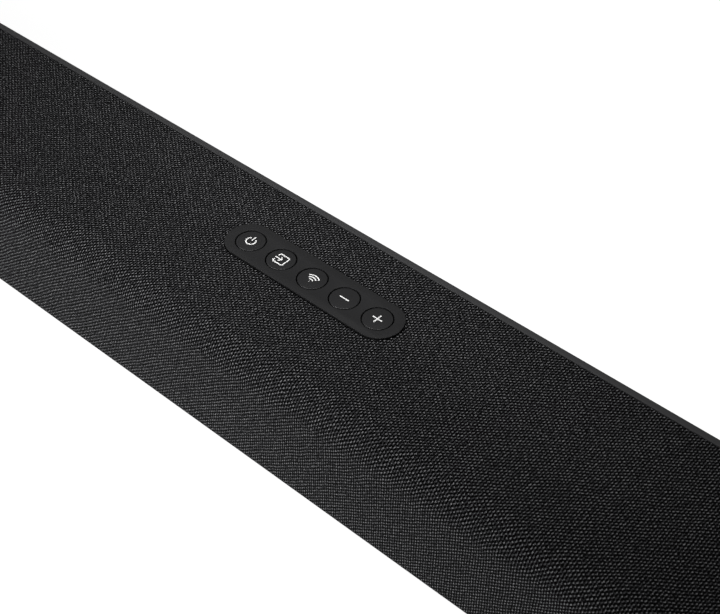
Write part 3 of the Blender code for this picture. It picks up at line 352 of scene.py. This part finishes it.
def move(vector):
    bpy.ops.transform.translate(value=vector)


def extrude(vector):
    bpy.ops.mesh.extrude_region_move(TRANSFORM_OT_translate={"value": vector})


def modify(thing, kind, **settings):
    """Adds a modifier and applies it."""
    only(thing)
    modifier = thing.modifiers.new(kind.lower(), kind)
    for name, value in settings.items():
        setattr(modifier, name, value)
    bpy.ops.object.modifier_apply(modifier=modifier.name)


def subtract(thing, cutter):
    modify(thing, "BOOLEAN", operation="DIFFERENCE", solver="EXACT", object=cutter)
    bpy.data.objects.remove(cutter)


def settle(thing, material, body, slot, *nodes, smooth=30):
    """Finishes a piece: place in the mesh, shading, material, body and the nodes that it stands for.
    The slot is not used."""
    only(thing)
    bpy.ops.object.transform_apply(location=True, rotation=True, scale=True)
    bpy.ops.object.shade_smooth_by_angle(angle=math.radians(smooth))
    thing.data.materials.clear()
    thing.data.materials.append(material)
    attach(thing, body)
    if nodes:
        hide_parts(*nodes)
    return thing


def copy_of(thing, name, shift):
    """A copy with its own mesh, moved by a shift."""
    copy = bpy.data.objects.new(name, thing.data.copy())
    copy.data.name = name
    copy.location = shift
    bpy.context.scene.collection.objects.link(copy)
    return copy


def cylinder(name, radius, low, high, place, sides=64):
    """A round block along Z between two heights."""
    bpy.ops.mesh.primitive_cylinder_add(vertices=sides, radius=radius, depth=high - low,
                                        location=(place[0], place[1], (low + high) / 2))
    thing = start(name)
    only(thing)
    bpy.ops.object.transform_apply(location=True, rotation=True, scale=True)
    return thing


def pill_block(name, half_length, radius, low, high):
    """A stadium-shaped block along X, made by pulling a cylinder's halves apart."""
    sides = 96
    thing = cylinder(name, radius, low, high, (0, KEYPAD_Y), sides)
    only(thing)
    bpy.ops.transform.rotate(value=math.pi / sides, orient_axis="Z",
                             center_override=(0, KEYPAD_Y, 0))
    bpy.ops.object.transform_apply(location=True, rotation=True, scale=True)
    for side in (1, -1):
        edit(thing, "VERT")
        pick(thing, lambda place, _, side=side: place.x * side > 0)
        move(((half_length - radius) * side, 0, 0))
        done()
    return thing


def upward_at(height):
    """A test for the faces that look up at one height."""
    return lambda place, normal: normal.z > 0.9 and abs(place.z - height) < TOUCHING


# ---- Cloth --------------------------------------------------------------------------------------

def wrap_length(sizes, place):
    """How far a point is along the cloth, from the lower front edge up over the front and back
    over the top."""
    upper, lower = sizes.front_top_radius, sizes.front_bottom_radius
    front, top, bottom = CLOTH_LOW.y, CLOTH_HIGH.z, CLOTH_LOW.z
    front_height = top - bottom - upper - lower
    if place.y > front + upper and place.z > (top + bottom) / 2:
        return lower * math.pi / 2 + front_height + upper * math.pi / 2 + place.y - front - upper
    if place.z > top - upper:
        turn = math.atan2(place.z - top + upper, front + upper - place.y)
        return lower * math.pi / 2 + front_height + upper * turn
    if place.z > bottom + lower:
        return lower * math.pi / 2 + place.z - bottom - lower
    if place.y < front + lower:
        return lower * math.atan2(front + lower - place.y, bottom + lower - place.z)
    return front + lower - place.y


def lay_out_weave(thing, sizes):
    """Gives the cloth a map in metres, along the bar and round the body."""
    layer = thing.data.uv_layers.new(name="cloth")
    for loop in thing.data.loops:
        place = thing.data.vertices[loop.vertex_index].co
        layer.data[loop.index].uv = (place.x, wrap_length(sizes, place))


class SOUNDBAR_OT_cloth(bpy.types.Operator):
    """Stretch the woven cloth over the top, round the front and under the body"""

    bl_idname = "soundbar.cloth"
    bl_label = "Grille cloth"

    def execute(self, context):
        sizes = context.scene.soundbar_sizes
        upper, lower = sizes.front_top_radius, sizes.front_bottom_radius
        low, high = CLOTH_LOW, CLOTH_HIGH
        flat_front = low.y + upper
        deselect()
        bpy.ops.mesh.primitive_plane_add(size=1, location=(0, (flat_front + high.y) / 2, high.z))
        cloth = start("cloth")
        edit(cloth, "VERT")
        bpy.ops.mesh.select_all(action="SELECT")
        bpy.ops.transform.resize(value=(high.x - low.x, high.y - flat_front, 1))
        done()
        bpy.ops.object.transform_apply(location=True, rotation=True, scale=True)
        edit(cloth, "EDGE")
        pick(cloth, lambda place, _: place.y < flat_front + TOUCHING)
        bpy.ops.mesh.spin(steps=24, angle=math.radians(-90), axis=(1, 0, 0),
                          center=(0, flat_front, high.z - upper))
        extrude((0, 0, low.z + lower - high.z + upper))
        bpy.ops.mesh.spin(steps=10, angle=math.radians(-90), axis=(1, 0, 0),
                          center=(0, low.y + lower, low.z + lower))
        under = sizes.cloth_under - lower
        extrude((0, under, 0))
        bpy.ops.mesh.select_all(action="SELECT")
        bpy.ops.mesh.remove_doubles(threshold=0.001 * MM)
        bpy.ops.mesh.normals_make_consistent(inside=False)
        done()
        modify(cloth, "SOLIDIFY", thickness=sizes.cloth_thickness, offset=-1,
               use_even_offset=True)
        half = (PAD_HIGH.x - PAD_LOW.x) / 2 - sizes.pad_flange
        hole = pill_block("cloth hole", half + sizes.cloth_margin,
                          sizes.pad_radius + sizes.cloth_margin,
                          high.z - CUTTER_REACH, high.z + CUTTER_REACH)
        subtract(cloth, hole)
        modify(cloth, "BEVEL", width=sizes.cloth_lip, segments=3, limit_method="ANGLE",
               angle_limit=math.radians(60))
        lay_out_weave(cloth, sizes)
        settle(cloth, finish("fabric"), "cabinet", "fabric", "grille_fabric")
        return {"FINISHED"}


# ---- Keypad -------------------------------------------------------------------------------------

class SOUNDBAR_OT_pad(bpy.types.Operator):
    """Raise the rubber pad through the cloth and cut its five button holes"""

    bl_idname = "soundbar.pad"
    bl_label = "Keypad pad"

    def execute(self, context):
        sizes = context.scene.soundbar_sizes
        half = (PAD_HIGH.x - PAD_LOW.x) / 2
        deselect()
        flange_top = PAD_LOW.z + sizes.pad_flange_height
        pad = pill_block("pad", half, sizes.pad_radius + sizes.pad_flange, PAD_LOW.z, flange_top)
        edit(pad)
        pick(pad, upward_at(flange_top))
        bpy.ops.mesh.inset(thickness=sizes.pad_flange + sizes.pad_undercut)
        extrude((0, 0, CLOTH_HIGH.z - sizes.cloth_thickness - flange_top))
        extrude((0, 0, PAD_HIGH.z - sizes.pad_rim - CLOTH_HIGH.z + sizes.cloth_thickness))
        wide = [outer / (outer - sizes.pad_undercut)
                for outer in (half - sizes.pad_flange, sizes.pad_radius)]
        bpy.ops.transform.resize(value=(*wide, 1), center_override=(0, KEYPAD_Y, 0))
        extrude((0, 0, sizes.pad_rim))
        done()
        for button in BUTTONS:
            low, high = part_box(f"{button}_button")
            place = ((low.x + high.x) / 2, KEYPAD_Y)
            subtract(pad, cylinder("hole", sizes.button_radius + sizes.button_groove,
                                   PAD_LOW.z - CUTTER_REACH, PAD_HIGH.z + CUTTER_REACH, place))
        modify(pad, "BEVEL", width=sizes.pad_edge, segments=4, limit_method="ANGLE",
               angle_limit=math.radians(50))
        settle(pad, finish("pad_rubber"), "cabinet", "pad_rubber", "keypad_pad", smooth=40)
        return {"FINISHED"}


class SOUNDBAR_OT_buttons(bpy.types.Operator):
    """Turn one round button with its flange and stem, and copy it to the five places"""

    bl_idname = "soundbar.buttons"
    bl_label = "Buttons"

    def execute(self, context):
        sizes = context.scene.soundbar_sizes
        low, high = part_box(f"{BUTTONS[0]}_button")
        first = (low.x + high.x) / 2
        flange = (high.x - low.x) / 2
        flange_low = low.z + sizes.button_stem
        flange_high = flange_low + sizes.button_flange_height
        deselect()
        turned = cylinder("turned_button", flange, flange_low, flange_high, (first, KEYPAD_Y))
        edit(turned)
        pick(turned, upward_at(flange_high))
        bpy.ops.mesh.inset(thickness=flange - sizes.button_radius)
        extrude((0, 0, high.z - flange_high))
        pick(turned, lambda place, normal: normal.z < -0.9 and place.z < flange_high)
        bpy.ops.mesh.inset(thickness=flange - sizes.button_stem_radius)
        extrude((0, 0, low.z - flange_low))
        done()
        modify(turned, "BEVEL", width=sizes.button_edge, segments=4, limit_method="ANGLE",
               angle_limit=math.radians(50))
        for button in BUTTONS:
            low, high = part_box(f"{button}_button")
            cap = copy_of(turned, f"{button}_cap", ((low.x + high.x) / 2 - first, 0, 0))
            settle(cap, finish("pad_rubber"), f"{button}_key", "pad_rubber",
                   f"{button}_button", smooth=40)
        bpy.data.objects.remove(turned)
        return {"FINISHED"}


def arc_points(radius, begin, end, steps=24, centre=(0, 0)):
    """Points on an arc between two angles in degrees."""
    angles = [math.radians(begin + (end - begin) * i / steps) for i in range(steps + 1)]
    return [(centre[0] + radius * math.cos(a), centre[1] + radius * math.sin(a)) for a in angles]


POWER_RING, POWER_BAR = 2.05, (0.5, 3.0)  # ring's radius; ends of the bar through its gap
FRAME_HALF, FRAME_CORNER, FRAME_GAP = 2.5, 0.6, 1.1  # input's frame, its corner, half its gap
ARROW_TAIL, ARROW_TIP, ARROW_WING = -3.1, 0.4, 1.2
RADIO_ARCS, RADIO_FOOT, RADIO_SPREAD = (1.5, 2.75, 4.0), -2.0, 42  # radii, foot, degrees each side
SIGN_HALF = 2.3  # half of each line in the minus and the plus


def symbol_strokes(button):
    """The lines of each symbol in millimetres, drawn to be read from the front."""
    if button == "power":
        return [arc_points(POWER_RING, 125, 415), [(0, end) for end in POWER_BAR]]
    if button == "input":
        inner = FRAME_HALF - FRAME_CORNER
        corners = ((180, 90, (-inner, inner)), (90, 0, (inner, inner)), (0, -90, (inner, -inner)),
                   (-90, -180, (-inner, -inner)))
        outline = [(-FRAME_HALF, FRAME_GAP)]
        for begin, end, centre in corners:
            outline += arc_points(FRAME_CORNER, begin, end, 6, centre)
        outline.append((-FRAME_HALF, -FRAME_GAP))
        barb = ARROW_TIP - ARROW_WING
        return [outline, [(ARROW_TAIL, 0), (ARROW_TIP - 0.1, 0)],
                [(barb, ARROW_WING), (ARROW_TIP, 0), (barb, -ARROW_WING)]]
    if button == "wireless":
        arcs = [arc_points(radius, 90 - RADIO_SPREAD, 90 + RADIO_SPREAD, 12, (0, RADIO_FOOT))
                for radius in RADIO_ARCS]
        return arcs + [[(-0.1, RADIO_FOOT), (0.1, RADIO_FOOT)]]
    across = [(-SIGN_HALF, 0), (SIGN_HALF, 0)]
    if button == "volume_down":
        return [across]
    return [across, [(0, -SIGN_HALF), (0, SIGN_HALF)]]


class SOUNDBAR_OT_symbols(bpy.types.Operator):
    """Print the white symbols on the buttons"""

    bl_idname = "soundbar.symbols"
    bl_label = "Button symbols"

    def execute(self, context):
        sizes = context.scene.soundbar_sizes
        for button in BUTTONS:
            low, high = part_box(f"{button}_button")
            curve = bpy.data.curves.new(f"{button}_symbol", "CURVE")
            curve.dimensions = "3D"
            curve.bevel_depth = sizes.symbol_stroke / 2
            curve.bevel_resolution = 3
            curve.use_fill_caps = True
            for stroke in symbol_strokes(button):
                line = curve.splines.new("POLY")
                line.points.add(len(stroke) - 1)
                for point, (x, y) in zip(line.points, stroke):
                    point.co = (x * MM, y * MM, 0, 1)
            symbol = bpy.data.objects.new(f"{button}_symbol", curve)
            context.scene.collection.objects.link(symbol)
            only(symbol)
            bpy.ops.object.convert(target="MESH")
            symbol = context.active_object
            symbol.scale = (1, 1, 2 * sizes.ink / sizes.symbol_stroke)
            symbol.location = ((low.x + high.x) / 2, KEYPAD_Y, high.z)
            settle(symbol, finish("ink"), f"{button}_key", "pad_rubber")
        return {"FINISHED"}


# ---- Casing, back and sockets -------------------------------------------------------------------

# Rounding of the edges of each moulded, pressed or cut piece.
REFINED = {
    "rear_housing": 0.3 * MM, "end_cap_left": 0.4 * MM, "end_cap_right": 0.4 * MM,
    "socket_tray": 0.5 * MM, "mains_inlet": 0.3 * MM, "optical_socket": 0.25 * MM,
    "aux_socket": 0.25 * MM, "video_socket": 0.12 * MM, "keyhole_plate_left": 0.25 * MM,
    "keyhole_plate_right": 0.25 * MM, "foot_front_left": 0.5 * MM, "foot_rear_left": 0.5 * MM,
    "foot_front_right": 0.5 * MM, "foot_rear_right": 0.5 * MM, "housing_screw_1": 0.12 * MM,
    "housing_screw_2": 0.12 * MM, "housing_screw_3": 0.12 * MM, "housing_screw_4": 0.12 * MM,
    "transformer": 0.6 * MM, "heat_sink": 0.2 * MM, "keypad_bracket": 0.3 * MM,
    "main_board": 0.15 * MM, "power_board": 0.15 * MM, "keypad_board": 0.15 * MM,
    "status_light_board": 0.15 * MM,
}


class SOUNDBAR_OT_casing(bpy.types.Operator):
    """Round the edges of the casing, the sockets, the plates, the feet and the screws"""

    bl_idname = "soundbar.casing"
    bl_label = "Casing and sockets"

    def execute(self, context):
        slots = {row["node"]: row["material_slot"] for row in frame["record"]["subparts"]}
        for node, width in REFINED.items():
            thing = bpy.data.objects.new(f"{node}_piece", frame["nodes"][node].data.copy())
            context.scene.collection.objects.link(thing)
            edit(thing)
            bpy.ops.mesh.select_all(action="SELECT")
            bpy.ops.mesh.remove_doubles(threshold=0.001 * MM)
            bpy.ops.mesh.dissolve_limited(angle_limit=math.radians(1))
            done()
            modify(thing, "BEVEL", width=width, segments=3, limit_method="ANGLE",
                   angle_limit=math.radians(50))
            settle(thing, finish(slots[node]), "cabinet", slots[node], node)
        return {"FINISHED"}


MAINS_PIN_ASIDE = 4.3 * MM
MAINS_PIN_RISE = 6.4 * MM
MAINS_PIN_RADIUS = 1.23 * MM
MAINS_PIN_SINK = 1.95 * MM  # from the inlet's rear face to the pin's end
MAINS_PIN_LENGTH = 7 * MM
LENS_RISE = 5.0 * MM
LENS_RADIUS = 1.3 * MM
LENS_SINK = 5 * MM
LENS_LENGTH = 3.1 * MM
ROD_EDGE = 0.3 * MM
STRIP_COUNT = 10
STRIP_PITCH = 1.0 * MM
STRIP_SIZE = (0.45 * MM, 5 * MM, 0.12 * MM)
STRIP_SINK = 4.6 * MM  # from the socket's rear face to the strip's middle
STRIP_RISE = 4.55 * MM  # top of the tongue over the socket's foot


class SOUNDBAR_OT_contacts(bpy.types.Operator):
    """Fit what shows in the sockets: the mains pins, the optical lens and the contact strips"""

    bl_idname = "soundbar.contacts"
    bl_label = "Socket contacts"

    def execute(self, context):
        pin = self.rod("mains_pin_left", "mains_inlet", -MAINS_PIN_ASIDE, MAINS_PIN_RISE,
                       MAINS_PIN_RADIUS, MAINS_PIN_SINK, MAINS_PIN_LENGTH)
        other = copy_of(pin, "mains_pin_right", (2 * MAINS_PIN_ASIDE, 0, 0))
        lens = self.rod("optical_lens", "optical_socket", 0, LENS_RISE, LENS_RADIUS, LENS_SINK,
                        LENS_LENGTH)
        for piece, slot in ((pin, "nickel"), (other, "nickel"), (lens, "lens")):
            settle(piece, finish(slot), "cabinet", "nickel")
        self.contact_strips()
        return {"FINISHED"}

    def rod(self, name, node, aside, rise, radius, sink, run):
        """A round piece along Y in a socket, ending a given way in from its rear face."""
        low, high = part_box(node)
        deselect()
        place = ((low.x + high.x) / 2 + aside, high.y - sink - run / 2, low.z + rise)
        bpy.ops.mesh.primitive_cylinder_add(vertices=32, radius=radius, depth=run, location=place,
                                            rotation=(math.radians(90), 0, 0))
        piece = start(name)
        bpy.ops.object.transform_apply(location=True, rotation=True, scale=True)
        modify(piece, "BEVEL", width=ROD_EDGE, segments=3, limit_method="ANGLE",
               angle_limit=math.radians(50))
        return piece

    def contact_strips(self):
        """The gold strips on the video socket's tongue."""
        low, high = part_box("video_socket")
        middle = (STRIP_COUNT - 1) / 2
        deselect()
        bpy.ops.mesh.primitive_cube_add(size=1, location=(
            (low.x + high.x) / 2, high.y - STRIP_SINK, low.z + STRIP_RISE))
        pressed = start("pressed_strip")
        pressed.scale = STRIP_SIZE
        bpy.ops.object.transform_apply(location=True, rotation=True, scale=True)
        for index in range(STRIP_COUNT):
            strip = copy_of(pressed, f"video_contact_{index}",
                            ((index - middle) * STRIP_PITCH, 0, 0))
            settle(strip, finish("gold"), "cabinet", "nickel")
        bpy.data.objects.remove(pressed)


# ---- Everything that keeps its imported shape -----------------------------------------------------

class SOUNDBAR_OT_packed_parts(bpy.types.Operator):
    """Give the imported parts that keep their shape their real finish"""

    bl_idname = "soundbar.packed_parts"
    bl_label = "Packed parts"

    def execute(self, context):
        for row in frame["record"]["subparts"]:
            node = frame["nodes"][row["node"]]
            for slot in node.material_slots:
                slot.material = finish(row["material_slot"])
        return {"FINISHED"}


# ---- Stage --------------------------------------------------------------------------------------

FLOOR_SIZE = 12
FLOOR_GLOW = 0.93
WORLD_STRENGTH = 0.19
# Each soft light's place, target, side, beam in degrees and power in watts.
SOFT_BOXES = {"key": ((-0.456, -0.692, 0.520), (-0.13, 0.038, 0.03), 0.5, 24, 0.53),
              "overhead": ((-0.01, -0.05, 1.2), (-0.02, 0, 0.05), 0.3, 21, 0.14)}
CAMERA_AZIMUTH = math.radians(42.0)
CAMERA_ELEVATION = math.radians(43.0)
CAMERA_DISTANCE = 555.1 * MM
CAMERA_LENS = 72.5  # millimetres
CAMERA_ASIDE = 24.7 * MM  # its target, right of the middle of the keypad
CAMERA_BEHIND = 0.4 * MM  # and behind the keypad's centre line


def soft_box(name, place, target, side, beam, power):
    """A square studio light whose grid narrows its beam."""
    deselect()
    bpy.ops.object.light_add(type="AREA", location=place)
    light = bpy.context.active_object
    light.name = name
    light.data.shape = "SQUARE"
    light.data.size = side
    light.data.spread = math.radians(beam)
    light.data.energy = power
    light.visible_camera = False
    direction = Vector(target) - Vector(place)
    light.rotation_euler = direction.to_track_quat("-Z", "Y").to_euler()


class SOUNDBAR_OT_stage(bpy.types.Operator):
    """Set the pale floor, the soft lights and the camera"""

    bl_idname = "soundbar.stage"
    bl_label = "Stage"

    def execute(self, context):
        colours = context.scene.soundbar_colours
        deselect()
        bpy.ops.mesh.primitive_plane_add(size=FLOOR_SIZE, location=(0, 0, 0))
        floor = start("floor")
        # Acrylic lit from behind glows evenly, so it hides all but the softest shadow.
        material, shader = new_material("back-lit white acrylic", colours.floor, 0.9,
                                        Emission_Color=(1, 1, 1, 1),
                                        Emission_Strength=FLOOR_GLOW)
        floor.data.materials.append(material)
        world = bpy.data.worlds.new("studio")
        world.use_nodes = True
        background = world.node_tree.nodes["Background"]
        background.inputs["Color"].default_value = (1, 1, 1, 1)
        background.inputs["Strength"].default_value = WORLD_STRENGTH
        context.scene.world = world
        for name, settings in SOFT_BOXES.items():
            soft_box(name, *settings)
        context.scene.view_settings.view_transform = "Standard"
        self.place_camera(context)
        return {"FINISHED"}

    def place_camera(self, context):
        level = math.cos(CAMERA_ELEVATION)
        back = Vector((math.sin(CAMERA_AZIMUTH) * level, -math.cos(CAMERA_AZIMUTH) * level,
                       math.sin(CAMERA_ELEVATION)))
        target = Vector((CAMERA_ASIDE, KEYPAD_Y + CAMERA_BEHIND, PAD_HIGH.z))
        data = bpy.data.cameras.new("camera")
        data.lens = CAMERA_LENS
        data.clip_start = 10 * MM
        camera = bpy.data.objects.new("camera", data)
        context.scene.collection.objects.link(camera)
        camera.location = target + back * CAMERA_DISTANCE
        camera.rotation_euler = back.to_track_quat("Z", "Y").to_euler()
        context.scene.camera = camera


# ---- Add-on -------------------------------------------------------------------------------------

STEPS = (SOUNDBAR_OT_packed_parts, SOUNDBAR_OT_cloth, SOUNDBAR_OT_pad, SOUNDBAR_OT_buttons,
         SOUNDBAR_OT_symbols, SOUNDBAR_OT_casing, SOUNDBAR_OT_contacts, SOUNDBAR_OT_stage)


class SOUNDBAR_PT_panel(bpy.types.Panel):
    """Lists the steps that build the soundbar"""

    bl_idname = "SOUNDBAR_PT_panel"
    bl_label = "Soundbar"
    bl_space_type = "VIEW_3D"
    bl_region_type = "UI"
    bl_category = "Soundbar"

    def draw(self, context):
        for step in STEPS:
            self.layout.operator(step.bl_idname)


CLASSES = (SoundbarSizes, SoundbarColours, *STEPS, SOUNDBAR_PT_panel)


def register():
    for item in CLASSES:
        bpy.utils.register_class(item)
    bpy.types.Scene.soundbar_sizes = bpy.props.PointerProperty(type=SoundbarSizes)
    bpy.types.Scene.soundbar_colours = bpy.props.PointerProperty(type=SoundbarColours)


def unregister():
    del bpy.types.Scene.soundbar_colours
    del bpy.types.Scene.soundbar_sizes
    for item in reversed(CLASSES):
        bpy.utils.unregister_class(item)


def main():
    register()
    scene = bpy.context.scene
    FINISHES.update(make_materials(scene.soundbar_colours, scene.soundbar_sizes))
    bpy.ops.soundbar.packed_parts()
    bpy.ops.soundbar.cloth()
    bpy.ops.soundbar.pad()
    bpy.ops.soundbar.buttons()
    bpy.ops.soundbar.symbols()
    bpy.ops.soundbar.casing()
    bpy.ops.soundbar.contacts()
    bpy.ops.soundbar.stage()


if __name__ == "__main__":
    main()
